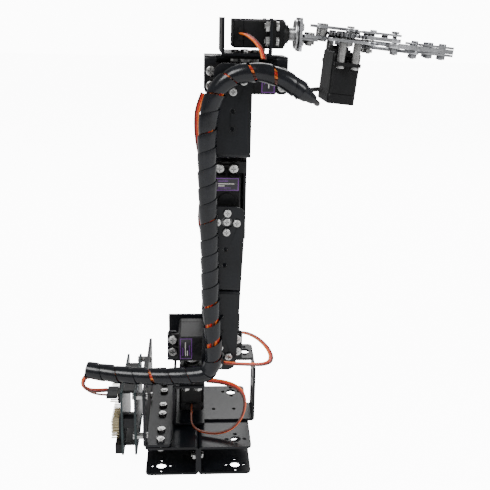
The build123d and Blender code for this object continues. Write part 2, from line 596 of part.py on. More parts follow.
def finger_fasteners(side):
    """Jaw screws of a finger with their nuts, and the pivot screws that ride with it."""
    _, _, rear, front = claw_pivots(side)
    pieces = []
    for spot in jaw_bolts(side):
        pieces.append(Pos(*spot, 3.4) * screw(M3_R, 9.6, 2.6, 1.5))
        pieces.append(Pos(*spot, -5.8) * M3_NUT)
    pieces.append(Pos(*rear, UPPER_PLATE[1] - 0.3) * screw(M3_R, 12.0, 2.6, 1.5))
    pieces.append(Pos(*rear, -4.0) * M3_NUT)
    pieces.append(Pos(*front, 1.6) * screw(M3_R, 9.0, 2.6, 1.5))
    pieces.append(Pos(*front, FOLLOWER_PLATE[0] - 0.3 - 2.4) * M3_NUT)
    return pieces


def claw_base_outline():
    """Lower plate of the claw: a neck, a wide middle over the servo and two ears."""
    neck = Pos(12.4, 0) * RectangleRounded(23.2, 22, 2)
    body = Pos(GEAR_X - 1, GEAR_Y - SHAFT_TO_MIDDLE) * RectangleRounded(34, 62, 6)
    nose = Pos(LINK_PIVOT_X, 0) * RectangleRounded(13, 2 * LINK_PIVOT_Y + 11, 5)
    return neck + body + nose


def claw_base():
    """Lower plate with holes for the servo posts, the horn and the pivots."""
    body = plate(claw_base_outline(), LOWER_PLATE)
    body -= rod(HORN_R + 0.6, -3, 3, GEAR_X, GEAR_Y)
    holes = [*claw_post_spots(), (GEAR_X, -GEAR_Y), *[(LINK_PIVOT_X, s * LINK_PIVOT_Y) for s in (-1, 1)]]
    holes += [*CLAW_TAB_HOLES, *TOP_POSTS]
    for spot in holes:
        body -= rod(M3_HOLE_R, -3, 3, *spot)
    return body


def claw_post_spots():
    """Where the four posts of the gripper servo's ears stand."""
    middle = GEAR_Y - SHAFT_TO_MIDDLE
    return [(GEAR_X + dx, middle + side * EAR_HOLE_X) for dx in (-EAR_HOLE_Y, EAR_HOLE_Y) for side in (-1, 1)]


def claw_cover():
    """Upper plate over the gears."""
    outline = Pos(19.5, 0) * RectangleRounded(24, 24, 4)
    for side in (-1, 1):
        outline += bar_outline((GEAR_X - 6, side * 6.0), (GEAR_X, side * GEAR_Y), 5.5)
    body = plate(outline, UPPER_PLATE)
    for spot in (*TOP_POSTS, (GEAR_X, -GEAR_Y), (GEAR_X, GEAR_Y)):
        body -= rod(M3_HOLE_R, 4, 9, *spot)
    return body


def claw_mount():
    """Angle bracket in the arm's frame: a plate on the roll horn and a tab under the claw's plate."""
    face = frame_at((ROLL_FACE_X, ROLL_Y, ROLL_Z), (0, 1, 0), (1, 0, 0))
    body = face * extrude(RectangleRounded(24, 23, 3), SHEET)
    body += CLAW * block((-1.0, CLAW_TAB_END), (-10, 10), (LOWER_PLATE[0] - SHEET, LOWER_PLATE[0]))
    body -= [CLAW * rod(M3_HOLE_R, -9, 3, *spot) for spot in CLAW_TAB_HOLES]
    head_room = ring_of(rod(3.2, SHEET, SHEET + 2.6), angle=45)
    holes = [rod(PILOT_R, -1, SHEET), *ring_of(rod(M3_HOLE_R, -1, SHEET + 1), angle=45)]
    return body - [face * piece for piece in head_room + holes]


def claw_fasteners():
    """Posts, pivots, screws and nuts that ride with the claw's base, in the claw's frame."""
    pieces = []
    for spot in claw_post_spots():
        post = rod(2.75, CLAW_EAR_Z, LOWER_PLATE[0]) - rod(M3_HOLE_R, -30, 9)
        pieces.append(Pos(*spot) * post)
        pieces.append(Pos(*spot, LOWER_PLATE[1]) * screw(M3_R, 5.0, 2.6, 1.2))
        pieces.append(Pos(*spot, CLAW_EAR_Z - EAR_THICK) * FLIP * screw(M3_R, 6.5, 2.8, 1.8))
    for spot in CLAW_TAB_HOLES:
        pieces.append(Pos(*spot, LOWER_PLATE[1]) * M3_LONG)
        pieces.append(Pos(*spot, LOWER_PLATE[0] - SHEET - 2.4) * M3_NUT)
    for spot in TOP_POSTS:
        pieces.append(Pos(*spot) * (rod(2.75, LOWER_PLATE[1], UPPER_PLATE[0]) - rod(M3_HOLE_R, -9, 9)))
        pieces.append(Pos(*spot, UPPER_PLATE[1]) * screw(M3_R, 4.0, 2.6, 1.4))
        pieces.append(Pos(*spot, LOWER_PLATE[0]) * FLIP * screw(M3_R, 3.6, 2.6, 1.4))
    idler_pin = Pos(GEAR_X, -GEAR_Y, UPPER_PLATE[1]) * screw(M3_R, 12.4, 2.6, 1.4)
    pieces += [idler_pin, Pos(GEAR_X, -GEAR_Y, LOWER_PLATE[0] - 2.4) * M3_NUT]
    for low, high in ((LOWER_PLATE[1], ARM_PLATE[0] - 0.1), (ARM_PLATE[1] + 0.1, UPPER_PLATE[0])):
        ring = rod(3.0, low, high) - rod(M3_R + 0.05, low - 1, high + 1)
        pieces.append(Pos(GEAR_X, -GEAR_Y) * ring)
    for side in (-1, 1):
        spot = (LINK_PIVOT_X, side * LINK_PIVOT_Y)
        pieces.append(Pos(*spot, LOWER_PLATE[1]) * screw(M3_R, 8.2, 2.6, 1.4))
        pieces.append(Pos(*spot, FOLLOWER_PLATE[0] - 0.3 - 2.4) * M3_NUT)
    return pieces


# ---------------------------------------------------------------- harness
def tube(points, diameter, name):
    """Tube of straight runs and tangent arcs; prints its bend radii and length."""
    radii = []
    for a, b, c in zip(points, points[1:], points[2:]):
        before, after = Vector(*b) - Vector(*a), Vector(*c) - Vector(*b)
        half_turn = math.radians(before.get_angle(after)) / 2
        radii.append(0.45 * min(before.length, after.length) / math.tan(half_turn))
    path = FilletPolyline(*points, radius=radii)
    start = Plane(origin=points[0], z_dir=Vector(*points[1]) - Vector(*points[0]))
    body = sweep(start * Circle(diameter / 2), path=path)
    expected = math.pi * diameter**2 / 4 * path.length
    print(f"{name}: length {path.length:.1f}, volume ratio {body.volume / expected:.3f},"
          f" radii {[round(r, 1) for r in radii]}")
    return body


def halved(points, cuts):
    """Split a route in the middle of the numbered runs, so that neighbours meet squarely."""
    pieces, current = [], [points[0]]
    for run, (a, b) in enumerate(zip(points, points[1:])):
        if run in cuts:
            middle = tuple((p + q) / 2 for p, q in zip(a, b))
            pieces.append([*current, middle])
            current = [middle]
        current.append(b)
    return [*pieces, current]


HARNESS_ROUTE = [
    (-83.5, -37.3, 86), (-63, -41.2, 84.2), (-42, -44.5, 84.2), (-24, -47, 85), (-6, -48.8, 86.5),
    (5.5, -49.4, 88.2), (10.4, -49.4, 96), (10.9, -49.2, 108), (9.3, -49, 127), (7.9, -49, 147),
    (7.3, -49.3, 170), (6.7, -49, 192), (5.6, -49.2, 213), (4.8, -49, 234), (4.4, -49.3, 255),
    (4.9, -49.1, 273), (6.8, -49.3, 286), (11.5, -49.6, 296), (20.2, -50, 303.7), (31.9, -50.3, 307),
    (45, -50.2, 306.2), (57, -50, 301.4), (66.5, -48.5, 295),
]
HARNESS_CUTS = (1, 5, 10, 15)  # runs that are shared by two neighbouring lengths
PAN_LEAD_ROUTE = [
    (-5.5, -13.3, 40.5), (-5.5, -18, 40.5), (-5.9, -22.5, 36.5), (-5.2, -26, 31), (-0.5, -29.5, 28),
    (7, -32.8, 27.4), (16, -34.8, 28), (25.5, -34.3, 31), (32.5, -31.2, 36.5), (36.3, -28, 44),
    (36.8, -26.8, 52.5), (34.3, -28.8, 61), (28.5, -32, 68), (21, -35.6, 73), (13, -39.4, 76.6),
    (6, -42.4, 79),
]
SHOULDER_LEAD_ROUTE = [
    (27.3, 2.5, 98), (32.5, 2.5, 98), (39.5, -0.5, 98.4), (47, -7, 97), (53, -16, 94.5), (56.2, -26, 91.5),
    (54.5, -35.5, 90.3), (48, -41.5, 91.3), (39.5, -44.4, 92.9), (31.5, -45.8, 94), (24, -46.8, 95),
    (18.2, -47.8, 96.4),
]
ELBOW_LEAD_ROUTE = [
    (ELBOW_X, 2.5, ELBOW_Z - GROMMET_END), (ELBOW_X, 2.5, 184), (14.5, 0.8, 179.3), (7.5, -2.4, 179.8),
    (2, -6, 185.5), (0.4, -11, 195), (1, -16, 207), (2, -21, 219.5), (2.4, -25.4, 232), (1.2, -29.3, 244),
    (-1.2, -33.2, 255), (-2.4, -36.6, 265), (-2.6, -40, 274.5), (-1.6, -43.2, 283.5), (1.8, -45, 292),
]
ROLL_LEAD_ROUTE = [
    (ROLL_EAR_X + LEAD_EXIT_Z, ROLL_Y - GROMMET_END, ROLL_Z), (ROLL_EAR_X + LEAD_EXIT_Z, -18.5, ROLL_Z),
    (31, -23.8, 329.6), (35.2, -29, 326.8), (38.6, -34.8, 323), (40.6, -40.6, 319), (41.2, -46, 315),
]
GRIPPER_LEAD_ROUTE = [
    (66.5, -48.5, 295), (74.1, -47.3, 289.9), (79.6, -39.5, 286), (81, -27, 284.3), (81.3, -13, 284.6),
    (81.3, 2, 286), (82, 16, 287.6), (84.6, 28.2, 288.5), (90.6, 36.4, 288.7), (97.4, 36.8, 288.7),
    (99.9, 31.4, 288.7), (99.9, 25.3, 288.7),
]


# ---------------------------------------------------------------- assembly
def place(location, pieces):
    """Move a piece or a list of pieces to its place."""
    return [location * piece for piece in (pieces if isinstance(pieces, list) else [pieces])]


def save_servo(name, location):
    """A servo's case and the drive inside it."""
    save(f"{name}_servo_case", *place(location, servo_shell()))
    save(f"{name}_servo_drive", *place(location, servo_drive()))


def save_base():
    """Beams, cradle, rail, base servo and everything bolted to them."""
    middle_y = PAN_Y + SHAFT_TO_MIDDLE
    pan_screws = [(PAN_X - HORN_PCD / 2, middle_y), (PAN_X, middle_y - HORN_PCD / 2)]
    hole = [rod(M3_HOLE_R, -6, 6)]
    spots = [Pos(x, y, BEAM_HEIGHT) for x, y in pan_screws]
    save("beam_left", cut(beam(-1), hole, *spots))
    save("beam_right", beam(1))
    save("cradle", cradle())
    save("controller_rail", controller_rail())
    save("pan_holder", *place(PAN, holder(-1, pivot=False)))
    save_servo("pan", PAN)
    save("main_board", circuit_board(MAIN_X))
    save("servo_board", circuit_board(SHIELD_X))
    save("board_headers", *board_headers())
    save("board_pins", *board_pins())
    fasteners = place(PAN, ear_fasteners())
    for x, y in pan_screws:
        fasteners.append(Pos(x, y, BEAM_HEIGHT + 2 * SHEET) * screw(M3_R, 9.0, 2.8, 1.8))
        fasteners.append(Pos(x, y, BEAM_HEIGHT - SHEET - 2.4) * Rot(0, 0, 30) * M3_NUT)
    for y in rail_screw_rows():
        fasteners.append(Pos(-PATTERN_X, y, BEAM_HEIGHT - SHEET) * FLIP * screw(M3_R, 9.0, 2.8, 1.8))
        fasteners.append(Pos(-PATTERN_X, y, BEAM_HEIGHT + 2 * SHEET) * M3_NUT)
        if not CRADLE_NEAR < y < CRADLE_FAR:
            spacer = rod(3.0, BEAM_HEIGHT, BEAM_HEIGHT + SHEET) - rod(M3_HOLE_R, 0, 99)
            fasteners.append(Pos(-PATTERN_X, y) * spacer)
    for row in (-40.0, 0.0, 40.0):
        fasteners.append(Pos(SHEET, row, BEAM_HEIGHT / 2) * Rot(0, 90, 0) * M3_LONG)
        fasteners.append(Pos(-SHEET, row, BEAM_HEIGHT / 2) * Rot(0, -90, 0) * M3_NUT)
    for y, z in BOARD_POSTS:
        bore = Rot(0, 90, 0) * rod(M3_HOLE_R, -99, 0)
        outline = RegularPolygon(2.4, 6, major_radius=False)
        post = Rot(0, 90, 0) * Pos(0, 0, MAIN_X) * extrude(outline, RAIL_OUTER - MAIN_X)
        fasteners.append(Pos(0, y, z) * (post - bore))
        fasteners.append(Pos(RAIL_OUTER + SHEET, y, z) * Rot(0, 90, 0) * screw(M3_R, 3.8, 2.6, 1.5))
        fasteners.append(Pos(MAIN_X - BOARD_THICK, y, z) * Rot(0, -90, 0) * screw(M3_R, 3.6, 2.6, 1.5))
    save("base_fasteners", *fasteners)


def save_turret():
    """What turns with the pan servo."""
    save("pan_horn", *place(PAN, horn()))
    save("turret_plate", turret_plate())
    save("shoulder_holder", *place(SHOULDER, holder(-1, (PAN_X - SHOULDER_X, 0.0))))
    save_servo("shoulder", SHOULDER)
    fasteners = place(SHOULDER, ear_fasteners() + pivot_fasteners())
    fasteners += ring_of(screw(M3_R, 6.2, 2.8, 1.8), SHOULDER_Z - WALL_OUT + SHEET, x=PAN_X, y=PAN_Y)
    save("turret_fasteners", *fasteners)


def save_upper_arm():
    """Two links bolted web to web, between the shoulder and the elbow."""
    save("shoulder_horn", *place(LOWER_LINK, horn()))
    save("lower_link", *place(LOWER_LINK, link((LINK_MIDDLE,))))
    save("upper_link", *place(UPPER_LINK, link((LINK_MIDDLE,))))
    save("elbow_horn", *place(UPPER_LINK, horn()))
    save("upper_arm_bearings", *place(LOWER_LINK, hinge_bearing()), *place(UPPER_LINK, hinge_bearing()))
    fasteners = place(LOWER_LINK, horn_fasteners()) + place(UPPER_LINK, horn_fasteners())
    seam = LOWER_LINK * Pos(LINK_REACH - SHEET, 0, LINK_MIDDLE) * Rot(0, -90, 0)
    fasteners += place(seam, ring_of(M3_LONG))
    far = LOWER_LINK * Pos(LINK_REACH + SHEET, 0, LINK_MIDDLE) * Rot(0, 90, 0)
    fasteners += place(far, ring_of(M3_NUT))
    save("upper_arm_fasteners", *fasteners)


def save_forearm():
    """Elbow servo in its holder and the link that carries the wrist."""
    save("elbow_holder", *place(ELBOW, holder(1, end_wall=True)))
    save_servo("elbow", ELBOW)
    save("forearm_link", *place(FOREARM_LINK, link((PATTERN_DEPTH, 2.0))))
    save("wrist_horn", *place(FOREARM_LINK, horn()))
    save("wrist_bearing", *place(FOREARM_LINK, hinge_bearing()))
    fasteners = place(ELBOW, ear_fasteners() + pivot_fasteners()) + place(FOREARM_LINK, horn_fasteners())
    wall_top = ELBOW_Z + END_WALL_OUT
    fasteners += ring_of(M3_LONG, wall_top + SHEET, x=WRIST_X, y=ROLL_Y)
    fasteners += ring_of(M3_NUT, wall_top - SHEET - 2.4, x=WRIST_X, y=ROLL_Y)
    save("forearm_fasteners", *fasteners)


def save_wrist():
    """Pitch servo below, roll servo above, their holders bolted wall to wall."""
    save("pitch_holder", *place(PITCH, holder(-1)))
    save("pitch_servo_case", *place(PITCH, servo_shell()))
    save("roll_holder", *place(ROLL, holder(1, (0.0, -20.4), pivot=False)))
    save("roll_servo_case", *place(ROLL, servo_shell()))
    save("wrist_servo_drives", *place(PITCH, servo_drive()), *place(ROLL, servo_drive()))
    fasteners = place(PITCH, ear_fasteners() + pivot_fasteners()) + place(ROLL, ear_fasteners())
    seam_x, seam_z = WRIST_X + SHAFT_TO_MIDDLE, WRIST_Z + WALL_OUT
    fasteners += ring_of(screw(M3_R, 6.8, 2.8, 1.8), seam_z + SHEET, x=seam_x, y=ROLL_Y)
    fasteners += ring_of(M3_NUT, seam_z - SHEET - 2.4, x=seam_x, y=ROLL_Y)
    save("wrist_fasteners", *fasteners)


def save_gripper():
    """The claw's base, its servo and its moving fingers."""
    save("roll_horn", *place(ROLL, horn(45)))
    save("claw_mount", claw_mount())
    save("claw_base", *place(CLAW, claw_base()))
    save("claw_cover", *place(CLAW, claw_cover()))
    save_servo("gripper", GRIPPER)
    mount_face = ROLL * Pos(0, 0, LINK_FRONT)
    save("claw_fasteners", *place(CLAW, claw_fasteners()), *place(mount_face, ring_of(M3_SHORT, angle=45)))
    gear_screws = ring_of(screw(M3_R, 4.6, 2.6, 1.1), HORN_FACE + ARM_PLATE[1] - ARM_PLATE[0])
    save("drive_arm", *place(CLAW, gear_arm(1)), *place(GRIPPER, [horn(), *gear_screws]))
    save("driven_arm", *place(CLAW, gear_arm(-1)))
    for side, name in ((1, "far"), (-1, "near")):
        save(f"{name}_follower", *place(CLAW, follower_link(side)))
        save(f"{name}_finger", *place(CLAW, finger(side) + finger_fasteners(side)))


def save_harness():
    """Wrapped main harness, cut where the arm bends, and the separate servo leads."""
    names = ("harness_base", "harness_swing", "harness_riser", "harness_forearm", "harness_wrist")
    for name, points in zip(names, halved(HARNESS_ROUTE, HARNESS_CUTS)):
        save(name, tube(points, HARNESS_D, name))
    leads = {
        "pan_lead": (PAN_LEAD_ROUTE, LEAD_WIDE), "shoulder_lead": (SHOULDER_LEAD_ROUTE, LEAD_WIDE),
        "elbow_lead": (ELBOW_LEAD_ROUTE, LEAD_WIDE), "roll_lead": (ROLL_LEAD_ROUTE, LEAD_WIDE),
        "gripper_lead": (GRIPPER_LEAD_ROUTE, SLEEVE_D),
    }
    for name, (points, diameter) in leads.items():
        save(name, tube(points, diameter, name))


def report_joints():
    """Print the joint positions in metres, for the record."""
    for name, point in (
        ("pan", (PAN_X, PAN_Y, PAN_HORN_Z)), ("shoulder", (SHOULDER_X, EAR_PLANE_Y, SHOULDER_Z)),
        ("elbow", (ELBOW_X, EAR_PLANE_Y, ELBOW_Z)), ("wrist", (WRIST_X, EAR_PLANE_Y, WRIST_Z)),
        ("roll", (ROLL_FACE_X, ROLL_Y, ROLL_Z)),
    ):
        print(name, [round(v / 1000, 6) for v in point])
    for side in (1, -1):
        for label, spot in zip(("gear", "follower", "finger_rear", "finger_front"), claw_pivots(side)):
            point = (CLAW * Pos(*spot, 0)).position
            print(label, side, [round(v / 1000, 6) for v in point])


save_base()
save_turret()
save_upper_arm()
save_forearm()
save_wrist()
save_gripper()
save_harness()
report_joints()
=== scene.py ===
"""Looks of the six-servo robot arm: materials, harness wrap, servo leads and board details."""
import json
import math
import random

import bpy
import bmesh
from mathutils import Matrix, Vector


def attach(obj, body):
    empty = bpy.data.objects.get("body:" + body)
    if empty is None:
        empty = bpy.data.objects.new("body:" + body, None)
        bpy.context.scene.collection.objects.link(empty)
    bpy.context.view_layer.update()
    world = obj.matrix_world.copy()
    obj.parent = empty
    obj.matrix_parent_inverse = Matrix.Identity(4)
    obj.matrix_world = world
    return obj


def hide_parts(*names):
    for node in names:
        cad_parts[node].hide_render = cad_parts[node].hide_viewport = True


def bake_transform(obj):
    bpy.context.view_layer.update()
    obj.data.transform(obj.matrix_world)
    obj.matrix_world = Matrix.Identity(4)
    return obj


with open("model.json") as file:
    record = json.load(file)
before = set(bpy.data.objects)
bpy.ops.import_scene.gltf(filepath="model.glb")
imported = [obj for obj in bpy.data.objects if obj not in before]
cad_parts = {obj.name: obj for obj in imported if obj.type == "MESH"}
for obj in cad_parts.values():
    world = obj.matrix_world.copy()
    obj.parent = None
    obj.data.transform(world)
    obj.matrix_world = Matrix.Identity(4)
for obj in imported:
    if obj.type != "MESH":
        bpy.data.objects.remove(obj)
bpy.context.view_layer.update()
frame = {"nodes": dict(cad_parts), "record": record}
MM = 0.001
chance = random.Random(7)


# ---------------------------------------------------------------- camera
CAMERA_PLACE = (-5.0, -527.3, 340.3)
CAMERA_YAW, CAMERA_PITCH, CAMERA_ROLL = 4.39, 17.59, 1.49  # degrees: towards +X, down, and about the view
CAMERA_LENS, CAMERA_SENSOR = 52.66, 36.0


def add_camera():
    """Camera at the photograph's viewing angle."""
    yaw, pitch, roll = (math.radians(angle) for angle in (CAMERA_YAW, CAMERA_PITCH, CAMERA_ROLL))
    forward = Vector((math.sin(yaw) * math.cos(pitch), math.cos(yaw) * math.cos(pitch), -math.sin(pitch)))
    level = Vector((math.cos(yaw), -math.sin(yaw), 0))
    upright = level.cross(forward)
    right = math.cos(roll) * level + math.sin(roll) * upright
    up = right.cross(forward)
    data = bpy.data.cameras.new("camera")
    data.sensor_width = CAMERA_SENSOR
    data.lens = CAMERA_LENS
    data.clip_start, data.clip_end = 0.01, 20
    camera = bpy.data.objects.new("camera", data)
    bpy.context.scene.collection.objects.link(camera)
    turn = Matrix((right, up, -forward)).transposed().to_4x4()
    camera.matrix_world = Matrix.Translation(Vector(CAMERA_PLACE) * MM) @ turn
    bpy.context.scene.camera = camera


add_camera()


# ---------------------------------------------------------------- materials
COAT_ROUGHNESS = 0.12
RELIEF_HEIGHT = 0.4 * MM


def new_material(name, colour, roughness, metallic=0.0):
    """An empty material with one shader, its constants set on the shader itself."""
    material = bpy.data.materials.new(name)
    material.use_nodes = True
    shader = material.node_tree.nodes["Principled BSDF"]
    shader.inputs["Base Color"].default_value = (*colour, 1)
    shader.inputs["Roughness"].default_value = roughness
    shader.inputs["Metallic"].default_value = metallic
    return material, shader


def node(material, kind, **values):
    """Add a node; values go to its inputs by name."""
    made = material.node_tree.nodes.new(kind)
    for key, value in values.items():
        made.inputs[key].default_value = value
    return made


def noise_of(material, scale, detail=4.0, stretch=(1, 1, 1)):
    """Noise in object space, stretched along an axis for brushed or drawn surfaces."""
    place = node(material, "ShaderNodeTexCoord")
    mapping = node(material, "ShaderNodeMapping", Scale=stretch)
    noise = node(material, "ShaderNodeTexNoise", Scale=scale, Detail=detail)
    material.node_tree.links.new(place.outputs["Object"], mapping.inputs["Vector"])
    material.node_tree.links.new(mapping.outputs["Vector"], noise.inputs["Vector"])
    return noise.outputs["Fac"]


def ramp_to(material, source, target, low, high, start=0.35, end=0.65):
    """Send a noise through a ramp between two colours to a socket."""
    ramp = node(material, "ShaderNodeValToRGB")
    first, last = ramp.color_ramp.elements
    first.position, last.position = start, end
    first.color, last.color = (*low, 1), (*high, 1)
    material.node_tree.links.new(source, ramp.inputs["Fac"])
    material.node_tree.links.new(ramp.outputs["Color"], target)


def range_to(material, source, target, low, high):
    """Send a noise to a number socket, between two values."""
    span = node(material, "ShaderNodeMapRange")
    span.inputs["From Min"].default_value, span.inputs["From Max"].default_value = 0.3, 0.7
    span.inputs["To Min"].default_value, span.inputs["To Max"].default_value = low, high
    material.node_tree.links.new(source, span.inputs["Value"])
    material.node_tree.links.new(span.outputs["Result"], target)


def bump_to(material, shader, source, strength, distance):
    """Use a noise as relief."""
    bump = node(material, "ShaderNodeBump", Strength=strength, Distance=distance)
    material.node_tree.links.new(source, bump.inputs["Height"])
    material.node_tree.links.new(bump.outputs["Normal"], shader.inputs["Normal"])


def paint_crevice_shade(material, shader, distance, darkest):
    """Painted shade: darken the colour where other surfaces stand close, by ambient occlusion, as shadow
    falls in recesses.
    """
    base = shader.inputs["Base Color"]
    colour = base.links[0].from_socket
    near = node(material, "ShaderNodeAmbientOcclusion", Distance=distance)
    near.samples = 8
    painted_shade_factor = node(material, "ShaderNodeMapRange")
    painted_shade_factor.inputs["From Min"].default_value, painted_shade_factor.inputs["From Max"].default_value = 0.35, 0.95
    painted_shade_factor.inputs["To Min"].default_value, painted_shade_factor.inputs["To Max"].default_value = darkest, 1.0
    product = node(material, "ShaderNodeVectorMath")
    product.operation = "SCALE"
    material.node_tree.links.new(near.outputs["AO"], painted_shade_factor.inputs["Value"])
    material.node_tree.links.new(colour, product.inputs[0])
    material.node_tree.links.new(painted_shade_factor.outputs["Result"], product.inputs["Scale"])
    material.node_tree.links.new(product.outputs["Vector"], base)


def surface(
    name, dark, light, rough, metallic=0.0, grain=900.0, relief=0.05, patches=45.0,
    stretch=(1, 1, 1), coat=0.0, shine=0.5, painted_crevice_shade=None,
):
    """A finish with patchy colour, uneven gloss and fine relief.

    dark and light are the ends of the patches, rough the range of the gloss, grain and patches the
    scales of the fine and the slow noise, and the last argument the reach and depth of the painted shade in
    recesses.
    """
    material, shader = new_material(name, light, rough[1], metallic)
    shader.inputs["Coat Weight"].default_value = coat
    shader.inputs["Coat Roughness"].default_value = COAT_ROUGHNESS
    shader.inputs["Specular IOR Level"].default_value = shine
    slow = noise_of(material, patches)
    fine = noise_of(material, grain, 6.0, stretch)
    ramp_to(material, slow, shader.inputs["Base Color"], dark, light)
    range_to(material, fine, shader.inputs["Roughness"], *rough)
    bump_to(material, shader, fine, relief, RELIEF_HEIGHT)
    # painted shade: the base colour is darkened in recesses by ambient occlusion
    if painted_crevice_shade:
        paint_crevice_shade(material, shader, *painted_crevice_shade)
    return material


BRACKET = surface(
    "bracket", (0.0028, 0.0032, 0.0045), (0.0058, 0.0066, 0.0090), (0.28, 0.42), 0, 1500, 0.10,
    35, shine=0.30,
)
CASE = surface(
    "servo_case", (0.0028, 0.0028, 0.0032), (0.0060, 0.0060, 0.0068), (0.36, 0.5), 0, 2600, 0.2,
    60, shine=0.26,
)
# fastener, horn and claw carry painted shade in their recesses, from ambient occlusion in the base colour
STEEL = surface(
    "fastener", (0.46, 0.46, 0.45), (0.68, 0.68, 0.67), (0.20, 0.36), 1.0, 1200, 0.06, 150,
    painted_crevice_shade=(0.0012, 0.04),
)
HORN = surface(
    "horn", (0.50, 0.50, 0.51), (0.70, 0.70, 0.71), (0.24, 0.38), 1.0, 700, 0.08, 80,
    painted_crevice_shade=(0.003, 0.15),
)
CLAW = surface(
    "claw_sheet", (0.52, 0.53, 0.55), (0.76, 0.77, 0.80), (0.18, 0.36), 1.0, 260, 0.10, 60,
    (1, 9, 9), painted_crevice_shade=(0.004, 0.12),
)
INSIDE = surface("servo_inside", (0.42, 0.42, 0.42), (0.56, 0.56, 0.57), (0.3, 0.4), 1.0)
BEARING = surface("bearing", (0.42, 0.42, 0.43), (0.58, 0.58, 0.6), (0.2, 0.3), 1.0)
GOLD = surface("pin", (0.50, 0.43, 0.28), (0.70, 0.64, 0.48), (0.18, 0.3), 1.0)
HEADER = surface(
    "header", (0.004, 0.004, 0.005), (0.009, 0.009, 0.010), (0.4, 0.55), 0.0, 2000, 0.1,
    shine=0.3,
)
WRAP = surface(
    "wrap", (0.0030, 0.0034, 0.0048), (0.0070, 0.0080, 0.0110), (0.18, 0.30), 0, 500, 0.10, 90,
    coat=0.05, shine=0.34,
)
SLEEVE = surface(
    "sleeve", (0.004, 0.004, 0.005), (0.010, 0.010, 0.011), (0.4, 0.55), 0.0, 1800, 0.2,
    shine=0.3,
)
BROWN = surface(
    "wire_brown", (0.055, 0.012, 0.005), (0.120, 0.026, 0.009), (0.3, 0.42), 0.0, 900, 0.05,
)
RED = surface("wire_red", (0.42, 0.010, 0.005), (0.68, 0.022, 0.008), (0.28, 0.4), 0.0, 900, 0.05)
ORANGE = surface(
    "wire_orange", (0.72, 0.13, 0.012), (0.92, 0.22, 0.025), (0.28, 0.4), 0.0, 900, 0.05,
)
WHITE = surface("white_plastic", (0.56, 0.55, 0.50), (0.74, 0.73, 0.69), (0.35, 0.5))
BOARD_EDGE = surface(
    "board", (0.005, 0.012, 0.014), (0.012, 0.024, 0.026), (0.2, 0.34), 0, 1200, 0.06, 220,
    coat=0.2, shine=0.4,
)
CERAMIC = surface("ceramic", (0.26, 0.18, 0.10), (0.40, 0.29, 0.17), (0.3, 0.5))
CAN = surface("capacitor_can", (0.42, 0.44, 0.46), (0.62, 0.64, 0.66), (0.2, 0.34), 1.0)
LABEL = surface(
    "label", (0.010, 0.008, 0.013), (0.020, 0.016, 0.026), (0.25, 0.4), 0, 300, 0.04, 130,
    coat=0.2,
)
LABEL_FRAME = surface(
    "label_frame", (0.10, 0.024, 0.170), (0.17, 0.045, 0.27), (0.25, 0.4), 0, 300, 0.04, 130,
    coat=0.2,
)

FINISH = {
    "bracket": BRACKET, "servo_case": CASE, "servo_inside": INSIDE, "horn": HORN, "claw_sheet": CLAW,
    "fastener": STEEL, "pin": GOLD, "board": BOARD_EDGE, "header": HEADER,
    "wrap": WRAP, "lead": RED, "bearing": BEARING,
}
WELD_DISTANCE = 0.01 * MM
EDGE_WIDTH, EDGE_ANGLE = 0.22 * MM, 50
SOFTENED_SLOTS = ("bracket", "claw_sheet", "servo_case", "horn")


def dress_frame():
    """Finishes and slightly broken edges on the frame's own pieces."""
    slot_of = {row["node"]: row["material_slot"] for row in frame["record"]["subparts"]}
    for name, shown in frame["nodes"].items():
        shown.data.materials.clear()
        shown.data.materials.append(FINISH[slot_of[name]])
        weld = shown.modifiers.new("weld", "WELD")
        weld.merge_threshold = WELD_DISTANCE
        if slot_of[name] in SOFTENED_SLOTS:
            bevel = shown.modifiers.new("edges", "BEVEL")
            bevel.width = EDGE_WIDTH
            bevel.segments = 2
            bevel.limit_method = "ANGLE"
            bevel.angle_limit = math.radians(EDGE_ANGLE)
            bevel.harden_normals = False


dress_frame()


# ---------------------------------------------------------------- mesh helpers
def new_piece(name, bm, materials, body=None, smooth=True):
    """Turn a bmesh into a named piece."""
    mesh = bpy.data.meshes.new(name)
    bm.normal_update()
    bm.to_mesh(mesh)
    bm.free()
    for material in materials:
        mesh.materials.append(material)
    if smooth:
        mesh.shade_smooth()
    piece = bpy.data.objects.new(name, mesh)
    bpy.context.scene.collection.objects.link(piece)
    if body:
        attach(piece, body)
    return piece


def route_line(points):
    """Points of a smooth line through a route's control points, all in metres."""
    curve = bpy.data.curves.new("route", "CURVE")
    curve.dimensions = "3D"
    spline = curve.splines.new("NURBS")
    spline.points.add(len(points) - 1)
    for target, point in zip(spline.points, points):
        target.co = (*(v * MM for v in point), 1)
    spline.order_u = 3
    spline.use_endpoint_u = True
    spline.resolution_u = 16
    holder = bpy.data.objects.new("route", curve)
    bpy.context.scene.collection.objects.link(holder)
    bpy.context.view_layer.update()
    mesh = bpy.data.meshes.new_from_object(holder)
    line = [vertex.co.copy() for vertex in mesh.vertices]
    bpy.data.meshes.remove(mesh)
    bpy.data.objects.remove(holder)
    bpy.data.curves.remove(curve)
    return line


